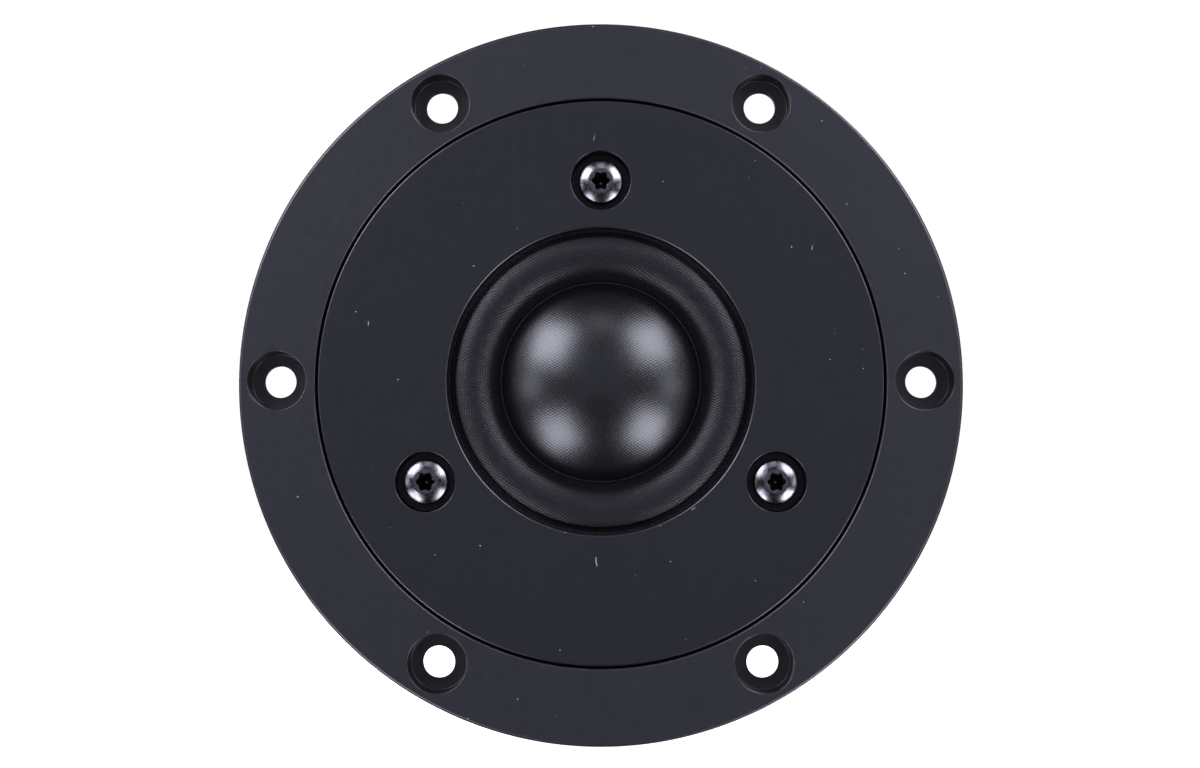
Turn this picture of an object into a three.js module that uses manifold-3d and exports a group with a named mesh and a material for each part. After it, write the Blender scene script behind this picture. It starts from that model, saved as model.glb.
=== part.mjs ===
// Flush-mount soft-dome tweeter: a two-piece aluminium front, a fabric dome on a moving coil,
// a ferrite ring motor and a damped rear chamber.
//
// Millimetres, +Z up. The tweeter's axis is Y and it faces -Y. Y = 0 is the back face of the
// mounting ring, the plane that lies on the baffle, and the origin is that plane's centre.
import * as THREE from "three";
import { mergeVertices } from "three/addons/utils/BufferGeometryUtils.js";
import Module from "manifold-3d";

const wasm = await Module();
wasm.setup();

// ---------------------------------------------------------------- driving dimensions (mm)

const FINE = 64; // segments round the two front parts
const COARSE = 40; // segments round everything behind them
const TOUCH = 0.05; // gap left between faces that touch

// Mounting ring
const RING_R = 52;
const FRONT_Y = -4;
const RING_EDGE = 0.5; // rounding of the front edge
const RING_BORE_R = 41;
const LEDGE_R = 36.5; // bore of the ledge that carries the face plate
const LEDGE_Y = -1.6; // front of the ledge
const HOLE_COUNT = 6;
const HOLE_PCR = 46.5; // pitch circle radius
const HOLE_R = 2.3;
const SINK_R = 4.2; // counterbore of each mounting hole, at the front face
const SINK_FLOOR_R = 4.05;
const SINK_DEPTH = 3.1;

const GROOVE_IN_R = 41.6; // seat of the foam gasket in the ring's back
const GROOVE_OUT_R = 43.6;
const GROOVE_DEPTH = 0.8;

// Screws that hold the face plate to the ring, from behind
const RING_SCREW_PCR = 38.8;
const RING_SCREW_R = 1.1;
const RING_SCREW_HOLE_R = 1.25;
const RING_SCREW_HEAD_R = 1.75;
const RING_SCREW_HEAD = 1;
const RING_SCREW_FRONT_Y = -3;

// Face plate
const PLATE_R = 40.65;
const PLATE_EDGE = 0.25; // chamfer beside the parting groove
const BOSS_R = 36.2;
const BOSS_Y = 2.5; // back of the face plate
const MOUTH_R = 22;
const MOUTH_CHAMFER = 0.35;
const LIP_Y = -2.1; // back of the lip that clamps the diaphragm
const SEAT_R = 24.2; // recess behind the lip

// Face screws
const SCREW_COUNT = 3;
const SCREW_PCR = 29;
const RECESS_R = 4.25;
const RECESS_CHAMFER = 0.15;
const RECESS_FLOOR_Y = -1.75;
const HEAD_R = 3.2;
const HEAD_H = 2.2;
const HEAD_CROWN = 1; // height of the head's domed top
const SOCKET_TIP_R = 1.4; // six-lobe socket, to the tips of its lobes
const SOCKET_ROOT_R = 1.06;
const SOCKET_DEPTH = 1.4;
const SHANK_R = 1.7;
const SCREW_END_Y = 6.3;

// Diaphragm
const DOME_R = 14.4;
const DOME_Y = -1.2; // plane of the dome's rim
const DOME_H = 6.3;
const CLOTH = 0.3;
const ROLL_R = 3.9; // radius of the half roll's arc
const ROLL_PCR = 18.72; // radius of its crest from the axis
const CREST_Y = -3.75;
const ROLL_LEAN = [30.5, 59.8]; // slope of the roll at its outer and inner end, degrees
const ROLL_OUT_R = 21; // outer wall of the roll
const FLANGE_Y = -1.7; // front of the surround's flat flange
const FLANGE_R = 23.7;
const PIN_R = 0.8; // pins that locate the diaphragm in the top plate
const PIN_LENGTH = 1.5;
const LEAD_GATE_W = 12.4; // opening for the leads

// Moving coil
const FORMER_R = 14.05;
const FORMER_WALL = 0.2;
const FORMER_END_Y = 6.5;
const WINDING_WALL = 0.35;
const WINDING_LENGTH = 3.2;

// Motor
const TOP_R = 34;
const TOP_THICK = 4;
const GAP_R = 15; // bore of the top plate
const MAGNET_R = 32.5;
const MAGNET_BORE_R = 16.8;
const MAGNET_H = 15;
const YOKE_R = 32;
const YOKE_THICK = 4.5;
const POLE_R = 13.1;
const POLE_Y = 2; // front of the pole
const VENT_R = 4.5;
const CAP_WALL = 0.4; // copper cap over the pole
const CAP_END_Y = 8;
const FELT_R = 12; // felt ring on the pole
const FELT_Y = 0.3;

// Rear chamber
const CHAMBER_R = 24;
const CHAMBER_FLANGE_R = 31;
const CHAMBER_FLANGE = 2.5;
const CHAMBER_WALL = 2;
const CHAMBER_DEPTH = 20;
const CHAMBER_DISH_R = 17; // shallow recess in its back
const CHAMBER_DISH = 0.4;
const CHAMBER_SCREW_PCR = 27.6;
const CHAMBER_SCREW_R = 1.35;
const CHAMBER_SCREW_HEAD_R = 2.5;
const CHAMBER_SCREW_HEAD = 1.9;
const CHAMBER_HOLE_R = 1.7;
const GASKET = 1;

// Terminals, at the bottom of the tweeter
const TAB_X = 5; // half the distance between the two tabs
const TAB_THICK = 0.5;
const BLOCK_W = 19;
const BLOCK_IN_Z = -25.2;
const BLOCK_OUT_Z = -38;
const BLOCK_WALL = 1.3;
const BLOCK_Y = 0.15; // front and back of the block's plate
const BLOCK_BACK_Y = 1.5;
const BLOCK_LEG_Y = 9;
const SLOT_Y = 0.1; // front of the slots that let the block and the leads through
const TAB_END_Y = 16.5;
const TAB_POSITIVE_W = 4.8;
const TAB_NEGATIVE_W = 2.8;
const LEAD_R = 0.2;
const RIVET_R = 0.8;
const RIVET_HEAD_R = 1.3;

// ---------------------------------------------------------------- places along the axis

const topY = BOSS_Y + TOUCH; // front of the top plate
const topEndY = topY + TOP_THICK;
const magnetY = topEndY + TOUCH;
const magnetEndY = magnetY + MAGNET_H;
const yokeY = magnetEndY + TOUCH;
const yokeEndY = yokeY + YOKE_THICK;
const gasketY = yokeEndY + TOUCH;
const chamberY = gasketY + GASKET + TOUCH;
const chamberEndY = chamberY + CHAMBER_DEPTH;

// ---------------------------------------------------------------- solids

// A closed mesh as a manifold-3d solid, with its faces turned outwards.
function solidOf(geometry) {
  const bare = geometry.index ? geometry.toNonIndexed() : geometry.clone();
  bare.deleteAttribute("normal");
  bare.deleteAttribute("uv");
  const merged = mergeVertices(bare, 1e-4);
  const index = merged.index.array;
  const corners = [];
  for (let i = 0; i < index.length; i += 3) {
    const [a, b, c] = index.slice(i, i + 3);
    if (a !== b && b !== c && c !== a) corners.push(a, b, c);
  }
  const make = (list) =>
    new wasm.Manifold(
      new wasm.Mesh({
        numProp: 3,
        vertProperties: merged.attributes.position.array,
        triVerts: new Uint32Array(list),
      }),
    );
  const made = make(corners);
  return made.volume() > 0 ? made : make(corners.reverse());
}

function geometryOf(solid) {
  const mesh = solid.getMesh();
  const stride = mesh.numProp;
  const position = new Float32Array(mesh.numVert * 3);
  for (let i = 0; i < mesh.numVert; i++) {
    position.set(mesh.vertProperties.subarray(i * stride, i * stride + 3), i * 3);
  }
  const geometry = new THREE.BufferGeometry();
  geometry.setAttribute("position", new THREE.BufferAttribute(position, 3));
  geometry.setIndex(new THREE.BufferAttribute(mesh.triVerts, 1));
  geometry.computeVertexNormals();
  return geometry;
}

// Turns an outline of [radius, y] points round the Y axis. The outline closes on itself.
function turned(outline, segments = COARSE) {
  const points = outline.map(([r, y]) => new THREE.Vector2(r, y));
  points.push(points[0].clone());
  return solidOf(new THREE.LatheGeometry(points, segments));
}

const ringOf = (inner, outer, y0, y1, segments = COARSE) =>
  turned([[inner, y0], [outer, y0], [outer, y1], [inner, y1]], segments);

// Points of an arc in the [radius, y] plane, from angle a0 to a1 in degrees.
function arc(r, y, radius, a0, a1, steps) {
  return Array.from({ length: steps + 1 }, (_, i) => {
    const a = THREE.MathUtils.degToRad(a0 + ((a1 - a0) * i) / steps);
    return [r + radius * Math.cos(a), y + radius * Math.sin(a)];
  });
}

// A cone or cylinder along Y at (x, z), with radius r0 at y0 and r1 at y1.
function plug(x, z, y0, y1, r0, r1 = r0, segments = 20) {
  const geometry = new THREE.CylinderGeometry(r1, r0, y1 - y0, segments);
  geometry.translate(x, (y0 + y1) / 2, z);
  return solidOf(geometry);
}

function block(x0, x1, y0, y1, z0, z1) {
  const geometry = new THREE.BoxGeometry(x1 - x0, y1 - y0, z1 - z0);
  geometry.translate((x0 + x1) / 2, (y0 + y1) / 2, (z0 + z1) / 2);
  return solidOf(geometry);
}

const addAll = (solids) => solids.reduce((a, b) => a.add(b));
const cutAll = (solid, cutters) => cutters.reduce((a, b) => a.subtract(b), solid);

// Places on a circle in the face plane: angle 0 is +X and 90 is +Z.
function spots(count, radius, first) {
  return Array.from({ length: count }, (_, i) => {
    const a = THREE.MathUtils.degToRad(first + (360 / count) * i);
    return [radius * Math.cos(a), radius * Math.sin(a)];
  });
}

const holeSpots = spots(HOLE_COUNT, HOLE_PCR, 0);
const screwSpots = spots(SCREW_COUNT, SCREW_PCR, 90);
const ringScrewSpots = spots(SCREW_COUNT, RING_SCREW_PCR, 90);
const chamberScrewSpots = spots(SCREW_COUNT, CHAMBER_SCREW_PCR, 30);
const pinSpots = spots(2, (ROLL_OUT_R + SEAT_R) / 2, 0);

// ---------------------------------------------------------------- materials

const finish = (color, roughness, metalness = 0) =>
  new THREE.MeshStandardMaterial({ color, roughness, metalness });

const blackRing = finish(0x24242c, 0.5, 0.4);
const blackPlate = finish(0x1d1f25, 0.5, 0.4);
const blackScrew = finish(0x2a2a2c, 0.2, 0.9);
const cloth = finish(0x141416, 0.55);
const plastic = finish(0x17171a, 0.6);
const foam = finish(0x1c1c1e, 0.95);
const felt = finish(0x8d8f93, 1);
const former = finish(0x8a5a2a, 0.35, 0.2);
const copper = finish(0xb5653a, 0.3, 1);
const steel = finish(0xa7a9ac, 0.35, 1);
const ferrite = finish(0x2b2a2a, 0.7);
const tinned = finish(0xc9c9c4, 0.3, 1);
const castBlack = finish(0x1b1c1e, 0.55, 0.3);

const tweeter = new THREE.Group();

function part(name, solid, material) {
  const mesh = new THREE.Mesh(geometryOf(solid), material);
  mesh.name = name;
  tweeter.add(mesh);
}

// ---------------------------------------------------------------- front

function mountingRing() {
  const body = turned(
    [
      [LEDGE_R, 0],
      [LEDGE_R, LEDGE_Y],
      [RING_BORE_R, LEDGE_Y],
      [RING_BORE_R, FRONT_Y + PLATE_EDGE],
      [RING_BORE_R + PLATE_EDGE, FRONT_Y],
      ...arc(RING_R - RING_EDGE, FRONT_Y + RING_EDGE, RING_EDGE, -90, 0, 3),
      [RING_R, 0],
      [GROOVE_OUT_R, 0],
      [GROOVE_OUT_R, -GROOVE_DEPTH],
      [GROOVE_IN_R, -GROOVE_DEPTH],
      [GROOVE_IN_R, 0],
    ],
    FINE,
  );
  const floorY = FRONT_Y + SINK_DEPTH;
  const mountingHoles = holeSpots.flatMap(([x, z]) => [
    plug(x, z, FRONT_Y - 0.01, floorY, SINK_R, SINK_FLOOR_R, 24),
    plug(x, z, floorY - 0.1, 1, HOLE_R),
  ]);
  const screwHoles = ringScrewSpots.flatMap(([x, z]) => [
    plug(x, z, LEDGE_Y - 1, 1, RING_SCREW_HOLE_R, undefined, 12),
    plug(x, z, -RING_SCREW_HEAD - 0.15, 0.01, RING_SCREW_R, RING_SCREW_HEAD_R + 0.2, 16),
  ]);
  return cutAll(body, [...mountingHoles, ...screwHoles]);
}

function facePlate() {
  const body = turned(
    [
      [MOUTH_R, LIP_Y],
      [MOUTH_R, FRONT_Y + MOUTH_CHAMFER],
      [MOUTH_R + MOUTH_CHAMFER, FRONT_Y],
      [PLATE_R - PLATE_EDGE, FRONT_Y],
      [PLATE_R, FRONT_Y + PLATE_EDGE],
      [PLATE_R, LEDGE_Y - TOUCH],
      [BOSS_R, LEDGE_Y - TOUCH],
      [BOSS_R, BOSS_Y],
      [SEAT_R, BOSS_Y],
      [SEAT_R, LIP_Y],
    ],
    FINE,
  );
  const recesses = screwSpots.flatMap(([x, z]) => [
    plug(x, z, FRONT_Y - 0.01, FRONT_Y + RECESS_CHAMFER, RECESS_R + RECESS_CHAMFER, RECESS_R, 24),
    plug(x, z, FRONT_Y - 0.5, RECESS_FLOOR_Y, RECESS_R, undefined, 24),
    plug(x, z, RECESS_FLOOR_Y - 0.1, BOSS_Y + 1, SHANK_R + 0.25),
  ]);
  const ringScrewHoles = ringScrewSpots.map(([x, z]) =>
    plug(x, z, RING_SCREW_FRONT_Y - 0.1, LEDGE_Y + 1, RING_SCREW_HOLE_R, undefined, 12),
  );
  const slots = [
    [BLOCK_W / 2 + 0.3, -RING_BORE_R, BLOCK_IN_Z + 0.3],
    [LEAD_GATE_W / 2 + 0.3, BLOCK_IN_Z, -SEAT_R + 2],
  ].map(([half, z0, z1]) => block(-half, half, SLOT_Y, BOSS_Y + 1, z0, z1));
  return cutAll(body, [...recesses, ...ringScrewHoles, ...slots]);
}

// Prism along Y with a six-lobe outline, as the socket of a screw.
function lobedPlug(x, z, y0, y1, tipR, rootR) {
  const tips = spots(6, tipR, 0);
  const roots = spots(6, rootR, 30);
  const outline = tips.flatMap((tip, i) => [new THREE.Vector2(...tip), new THREE.Vector2(...roots[i])]);
  const geometry = new THREE.ExtrudeGeometry(new THREE.Shape(outline), { depth: y1 - y0, bevelEnabled: false });
  geometry.rotateX(Math.PI / 2);
  geometry.translate(x, y1, z);
  return solidOf(geometry);
}

// Domed head with a six-lobe socket, on a plain shank.
function faceScrew([x, z]) {
  const seatY = RECESS_FLOOR_Y - TOUCH;
  const apexY = seatY - HEAD_H;
  const body = turned(
    [
      [0, apexY],
      [HEAD_R * 0.5, apexY + HEAD_CROWN * 0.2],
      [HEAD_R * 0.85, apexY + HEAD_CROWN * 0.6],
      [HEAD_R, apexY + HEAD_CROWN],
      [HEAD_R, seatY],
      [SHANK_R, seatY],
      [SHANK_R, SCREW_END_Y],
      [0, SCREW_END_Y],
    ],
    20,
  ).translate(x, 0, z);
  return body.subtract(lobedPlug(x, z, apexY - 0.5, apexY + SOCKET_DEPTH, SOCKET_TIP_R, SOCKET_ROOT_R));
}

// Countersunk screw from behind, through the ring's ledge into the face plate.
function ringScrew([x, z]) {
  const back = -0.1;
  return turned(
    [
      [0, RING_SCREW_FRONT_Y],
      [RING_SCREW_R, RING_SCREW_FRONT_Y],
      [RING_SCREW_R, back - RING_SCREW_HEAD],
      [RING_SCREW_HEAD_R, back - 0.1],
      [RING_SCREW_HEAD_R, back],
      [0, back],
    ],
    12,
  ).translate(x, 0, z);
}

part("mounting_ring", mountingRing(), blackRing);
part("face_plate", facePlate(), blackPlate);
screwSpots.forEach((spot, i) => part(`face_screw_${i + 1}`, faceScrew(spot), blackScrew));
ringScrewSpots.forEach((spot, i) => part(`ring_screw_${i + 1}`, ringScrew(spot), blackScrew));
part(
  "baffle_gasket",
  ringOf(GROOVE_IN_R + 0.2, GROOVE_OUT_R - 0.2, TOUCH - GROOVE_DEPTH, -TOUCH, FINE),
  foam,
);
part("diaphragm_gasket", ringOf(MOUTH_R - 0.35, SEAT_R - 0.3, LIP_Y + TOUCH, FLANGE_Y - TOUCH), foam);

// ---------------------------------------------------------------- diaphragm

// Points of a cap's outline, from its axis out to its rim: half is the rim's radius, rise the cap's height.
function capPoints(half, rimY, rise, steps) {
  const radius = (half * half + rise * rise) / (2 * rise);
  const edge = THREE.MathUtils.radToDeg(Math.asin(half / radius));
  return arc(0, rimY - rise + radius, radius, -90, edge - 90, steps);
}

function dome() {
  const outside = capPoints(DOME_R, DOME_Y, DOME_H, 8);
  const inside = capPoints(DOME_R - CLOTH, DOME_Y, DOME_H - CLOTH, 8);
  return turned([...outside, ...inside.reverse()]);
}

// Half roll that stands on a low wall between the clamped flange and the dome's rim.
function surround() {
  const centreY = CREST_Y + ROLL_R;
  const [out, inner] = ROLL_LEAN;
  const wall = ROLL_OUT_R;
  const foot = DOME_R + 0.12;
  const footY = DOME_Y + 0.12;
  return turned([
    [FLANGE_R, FLANGE_Y + CLOTH],
    [FLANGE_R, FLANGE_Y],
    [wall + 0.15, FLANGE_Y],
    [wall, FLANGE_Y - 0.15],
    [wall, FLANGE_Y - 1],
    [wall - 0.08, FLANGE_Y - 1.3],
    ...arc(ROLL_PCR, centreY, ROLL_R, out - 90, -90 - inner, 8),
    [foot, footY],
    [foot, footY + CLOTH],
    [foot + 0.45, footY + CLOTH],
    ...arc(ROLL_PCR, centreY, ROLL_R - CLOTH, -90 - inner, out - 90, 8),
    [wall - CLOTH, FLANGE_Y - 0.95],
    [wall - CLOTH, FLANGE_Y + 0.1],
    [wall - CLOTH + 0.2, FLANGE_Y + CLOTH],
  ]);
}

// Plastic ring that the surround is glued to, with two locating pins and a gate for the leads.
function diaphragmRing() {
  const ring = ringOf(ROLL_OUT_R + 0.2, SEAT_R - 0.3, FLANGE_Y + CLOTH + TOUCH, BOSS_Y);
  const pins = pinSpots.map(([x, z]) => plug(x, z, BOSS_Y - 1, topY + PIN_LENGTH, PIN_R, undefined, 12));
  const gate = block(-LEAD_GATE_W / 2, LEAD_GATE_W / 2, SLOT_Y, BOSS_Y + 1, -SEAT_R - 5, -DOME_R);
  return addAll([ring.subtract(gate), ...pins]);
}

const windingY = (topY + topEndY - WINDING_LENGTH) / 2;
const formerOutR = FORMER_R + FORMER_WALL;

part("dome", dome(), cloth);
part("surround", surround(), cloth);
part("diaphragm_ring", diaphragmRing(), plastic);
part("voice_coil_former", ringOf(FORMER_R, formerOutR, DOME_Y + TOUCH, FORMER_END_Y), former);
part(
  "voice_coil_winding",
  ringOf(formerOutR + TOUCH, formerOutR + WINDING_WALL, windingY, windingY + WINDING_LENGTH),
  copper,
);

// ---------------------------------------------------------------- terminals

// Flexible lead from the coil, under the surround, to the inner end of its tab.
function leadWire(side) {
  const path = new THREE.CatmullRomCurve3([
    new THREE.Vector3(side * 2.2, 2.2, -14.4),
    new THREE.Vector3(side * 2.4, 1.1, -14.6),
    new THREE.Vector3(side * 3.1, 0.55, -15.8),
    new THREE.Vector3(side * 4.4, 1.1, -18.2),
    new THREE.Vector3(side * TAB_X, 1.8, -20.8),
    new THREE.Vector3(side * TAB_X, 1.7, -23.2),
    new THREE.Vector3(side * TAB_X, 1.8, -24.9),
  ]);
  const section = new THREE.Shape().absarc(0, 0, LEAD_R, 0, Math.PI * 2, false);
  const tube = new THREE.ExtrudeGeometry(section, { steps: 18, curveSegments: 4, extrudePath: path });
  return solidOf(tube);
}

const stripY = BLOCK_BACK_Y + TOUCH; // front of the tabs' strip
const tabZ = -35.5; // inner face of the tabs where they run rearwards
const rivetZ = -30.5;

function terminalBlock() {
  const half = BLOCK_W / 2;
  const legY = BLOCK_BACK_Y - 0.1;
  const plate = block(-half, half, BLOCK_Y, BLOCK_BACK_Y, BLOCK_OUT_Z, BLOCK_IN_Z);
  const leg = block(-half, half, legY, BLOCK_LEG_Y, BLOCK_OUT_Z, BLOCK_OUT_Z + BLOCK_WALL);
  const rib = block(-0.6, 0.6, legY, BLOCK_LEG_Y, BLOCK_OUT_Z, tabZ + 0.7);
  const holes = [-TAB_X, TAB_X].flatMap((x) => [
    plug(x, rivetZ, -1, 3, RIVET_R + 0.15, undefined, 12),
    plug(x, rivetZ, -1, 0.65, RIVET_HEAD_R + 0.2, undefined, 16),
  ]);
  return cutAll(addAll([plate, leg, rib]), holes);
}

// Flat strip on the block, bent to a blade that points rearwards.
function terminalTab(side, width) {
  const x = side * TAB_X;
  const half = width / 2;
  const backZ = tabZ - TAB_THICK;
  const strip = block(x - half, x + half, stripY, stripY + TAB_THICK, backZ, BLOCK_IN_Z);
  const blade = block(x - half, x + half, stripY, TAB_END_Y, backZ, tabZ);
  const cutters = [
    plug(x, rivetZ, 0, 4, RIVET_R + 0.15, undefined, 12),
    block(x - 0.6, x + 0.6, TAB_END_Y - 4.5, TAB_END_Y - 2.5, backZ - 1, tabZ + 1),
  ];
  return cutAll(strip.add(blade), cutters);
}

// Rivet: its two heads hold the block and the strip together.
function terminalRivet(side) {
  const x = side * TAB_X;
  const shank = plug(x, rivetZ, 0.2, 2.35, RIVET_R, undefined, 12);
  const front = plug(x, rivetZ, 0.2, 0.6, RIVET_HEAD_R, undefined, 16);
  const back = plug(x, rivetZ, stripY + TAB_THICK + TOUCH, 2.4, RIVET_HEAD_R, undefined, 16);
  return addAll([shank, front, back]);
}

for (const [name, side, width] of [["positive", 1, TAB_POSITIVE_W], ["negative", -1, TAB_NEGATIVE_W]]) {
  part(`lead_wire_${name}`, leadWire(side), copper);
  part(`terminal_tab_${name}`, terminalTab(side, width), tinned);
  part(`terminal_rivet_${name}`, terminalRivet(side), tinned);
}
part("terminal_block", terminalBlock(), plastic);

// ---------------------------------------------------------------- motor

function topPlate() {
  const body = ringOf(GAP_R, TOP_R, topY, topEndY);
  const threads = screwSpots.map(([x, z]) => plug(x, z, topY - 1, topEndY + 1, SHANK_R + 0.15));
  const pinHoles = pinSpots.map(([x, z]) =>
    plug(x, z, topY - 1, topY + PIN_LENGTH + 0.3, PIN_R + 0.2, undefined, 12),
  );
  return cutAll(body, [...threads, ...pinHoles]);
}

function magnet() {
  const bevel = 0.6;
  return turned([
    [MAGNET_BORE_R, magnetY],
    [MAGNET_R - bevel, magnetY],
    [MAGNET_R, magnetY + bevel],
    [MAGNET_R, magnetEndY - bevel],
    [MAGNET_R - bevel, magnetEndY],
    [MAGNET_BORE_R, magnetEndY],
  ]);
}

// Back plate and vented pole in one piece.
function poleYoke() {
  const bevel = 0.8;
  const body = turned([
    [VENT_R, POLE_Y],
    [POLE_R, POLE_Y],
    [POLE_R, yokeY],
    [YOKE_R, yokeY],
    [YOKE_R, yokeEndY - bevel],
    [YOKE_R - bevel, yokeEndY],
    [VENT_R, yokeEndY],
  ]);
  const threads = chamberScrewSpots.map(([x, z]) =>
    plug(x, z, yokeY + 1, yokeEndY + 1, CHAMBER_SCREW_R + 0.15, undefined, 16),
  );
  return cutAll(body, threads);
}

function copperCap() {
  const inR = POLE_R + TOUCH * 2;
  const outR = inR + CAP_WALL;
  const frontY = POLE_Y - TOUCH - CAP_WALL;
  return turned([
    [VENT_R + 0.5, frontY],
    [outR, frontY],
    [outR, CAP_END_Y],
    [inR, CAP_END_Y],
    [inR, frontY + CAP_WALL],
    [VENT_R + 0.5, frontY + CAP_WALL],
  ]);
}

part("top_plate", topPlate(), steel);
part("ferrite_magnet", magnet(), ferrite);
part("pole_yoke", poleYoke(), steel);
part("copper_cap", copperCap(), copper);
part("pole_felt_ring", ringOf(VENT_R + 0.6, FELT_R, FELT_Y, POLE_Y - 2 * TOUCH - CAP_WALL, 32), felt);
part("vent_felt_plug", plug(0, 0, POLE_Y + 1, POLE_Y + 9, VENT_R - 0.3, undefined, 24), felt);

// ---------------------------------------------------------------- rear chamber

const chamberScrewHoles = (y0, y1) =>
  chamberScrewSpots.map(([x, z]) => plug(x, z, y0, y1, CHAMBER_HOLE_R, undefined, 16));

function rearChamber() {
  const backBevel = 1.5;
  const flangeEndY = chamberY + CHAMBER_FLANGE;
  const inR = CHAMBER_R - CHAMBER_WALL;
  const floorY = chamberEndY - CHAMBER_WALL;
  const body = turned([
    [inR, chamberY],
    [CHAMBER_FLANGE_R, chamberY],
    [CHAMBER_FLANGE_R, flangeEndY - 0.5],
    [CHAMBER_FLANGE_R - 0.5, flangeEndY],
    ...arc(CHAMBER_R + 1, flangeEndY + 1, 1, -90, -180, 3),
    ...arc(CHAMBER_R - backBevel, chamberEndY - backBevel, backBevel, 0, 90, 3),
    [CHAMBER_DISH_R, chamberEndY],
    [CHAMBER_DISH_R, chamberEndY - CHAMBER_DISH],
    [0, chamberEndY - CHAMBER_DISH],
    [0, floorY],
    [inR, floorY],
  ]);
  return cutAll(body, chamberScrewHoles(chamberY - 1, flangeEndY + 1));
}

function chamberGasket() {
  const body = ringOf(CHAMBER_R - CHAMBER_WALL, CHAMBER_FLANGE_R - 0.3, gasketY, gasketY + GASKET);
  return cutAll(body, chamberScrewHoles(gasketY - 1, gasketY + GASKET + 1));
}

// Pan-head screw with a cross recess, through the chamber's flange into the back plate.
function chamberScrew([x, z]) {
  const seatY = chamberY + CHAMBER_FLANGE + TOUCH;
  const endY = yokeEndY - 3;
  const headR = CHAMBER_SCREW_HEAD_R;
  const headH = CHAMBER_SCREW_HEAD;
  const body = turned(
    [
      [0, endY],
      [CHAMBER_SCREW_R, endY],
      [CHAMBER_SCREW_R, seatY],
      [headR, seatY],
      [headR, seatY + headH * 0.6],
      [headR * 0.7, seatY + headH * 0.93],
      [0, seatY + headH],
    ],
    16,
  ).translate(x, 0, z);
  const arm = 1.5;
  const half = 0.3;
  const slotY = seatY + headH - 1;
  const across = block(x - arm, x + arm, slotY, slotY + 2, z - half, z + half);
  const upright = block(x - half, x + half, slotY, slotY + 2, z - arm, z + arm);
  return cutAll(body, [across, upright]);
}

part("rear_chamber", rearChamber(), castBlack);
part("chamber_gasket", chamberGasket(), foam);
part(
  "chamber_wool",
  plug(0, 0, chamberY + 0.5, chamberEndY - CHAMBER_WALL - 0.5, CHAMBER_R - CHAMBER_WALL - 0.5, undefined, 32),
  felt,
);
chamberScrewSpots.forEach((spot, i) => part(`chamber_screw_${i + 1}`, chamberScrew(spot), blackScrew));

export default tweeter;
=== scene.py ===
"""Flush-mount soft-dome tweeter: fine meshes, materials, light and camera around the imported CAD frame.

The tweeter's axis is Y and it faces -Y. Lengths are millimetres until a mesh is made, and metres after.
"""

import math

import bmesh
import bpy
import numpy as np
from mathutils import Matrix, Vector


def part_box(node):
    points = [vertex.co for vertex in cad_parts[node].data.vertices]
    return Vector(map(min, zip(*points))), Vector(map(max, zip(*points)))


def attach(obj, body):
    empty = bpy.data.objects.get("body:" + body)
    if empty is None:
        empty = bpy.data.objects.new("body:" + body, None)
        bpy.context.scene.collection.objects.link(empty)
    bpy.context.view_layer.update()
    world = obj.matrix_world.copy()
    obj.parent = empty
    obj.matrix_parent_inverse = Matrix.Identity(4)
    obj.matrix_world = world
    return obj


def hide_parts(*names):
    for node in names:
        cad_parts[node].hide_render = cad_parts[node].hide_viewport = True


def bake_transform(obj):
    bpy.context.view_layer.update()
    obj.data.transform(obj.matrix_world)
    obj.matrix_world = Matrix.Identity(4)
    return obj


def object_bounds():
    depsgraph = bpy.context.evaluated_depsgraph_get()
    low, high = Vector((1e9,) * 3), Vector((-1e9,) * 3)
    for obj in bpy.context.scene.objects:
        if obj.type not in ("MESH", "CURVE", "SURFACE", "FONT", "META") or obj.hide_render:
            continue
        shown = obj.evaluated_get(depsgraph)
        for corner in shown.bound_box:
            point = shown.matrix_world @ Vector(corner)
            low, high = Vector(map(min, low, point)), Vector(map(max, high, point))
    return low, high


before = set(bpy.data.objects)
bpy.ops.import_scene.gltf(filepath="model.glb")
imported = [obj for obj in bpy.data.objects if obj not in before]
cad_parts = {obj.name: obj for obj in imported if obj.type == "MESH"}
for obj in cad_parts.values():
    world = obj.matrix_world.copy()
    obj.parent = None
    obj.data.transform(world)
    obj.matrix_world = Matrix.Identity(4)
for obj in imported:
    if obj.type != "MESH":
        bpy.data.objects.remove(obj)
cad_low, cad_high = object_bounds()

MM = 0.001
CHASSIS = "chassis"
DIAPHRAGM = "diaphragm"

# ------------------------------------------------------------------ dimensions (mm)

FINE = 288  # segments round the front parts
ROUND = 160  # segments round everything behind them
SMALL = 64  # segments round holes and screws


def reach(node):
    """Outer radius of a node on the tweeter's axis, and where it starts and ends along the axis."""
    low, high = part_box(node)
    return high.x / MM, low.y / MM, high.y / MM


RING_R, FRONT_Y, _ = reach("mounting_ring")
PLATE_R, _, BOSS_Y = reach("face_plate")
RING_BORE_R = PLATE_R + 0.35
LEDGE_R = 36.5  # bore of the ledge that carries the face plate
LEDGE_Y = -1.6  # front of the ledge
BOSS_R = 36.2  # part of the face plate that fits in that bore
FACE_EDGE = 0.28  # rounding beside the parting groove

GROOVE_IN_R = 41.6  # groove of the foam gasket in the ring's back
GROOVE_OUT_R = 43.6
GROOVE_DEPTH = 0.8

HOLES = 6
HOLE_PCR = 46.5  # pitch circle radius
HOLE_R = 2.3
SINK_R = 4.2  # counterbore of each mounting hole
SINK_DEPTH = 3.1

MOUTH_R = 22.05
MOUTH_EDGE = 0.35
LIP_Y = -2.1  # back of the lip that clamps the diaphragm
SEAT_R = 24.2  # recess behind the lip

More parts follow.
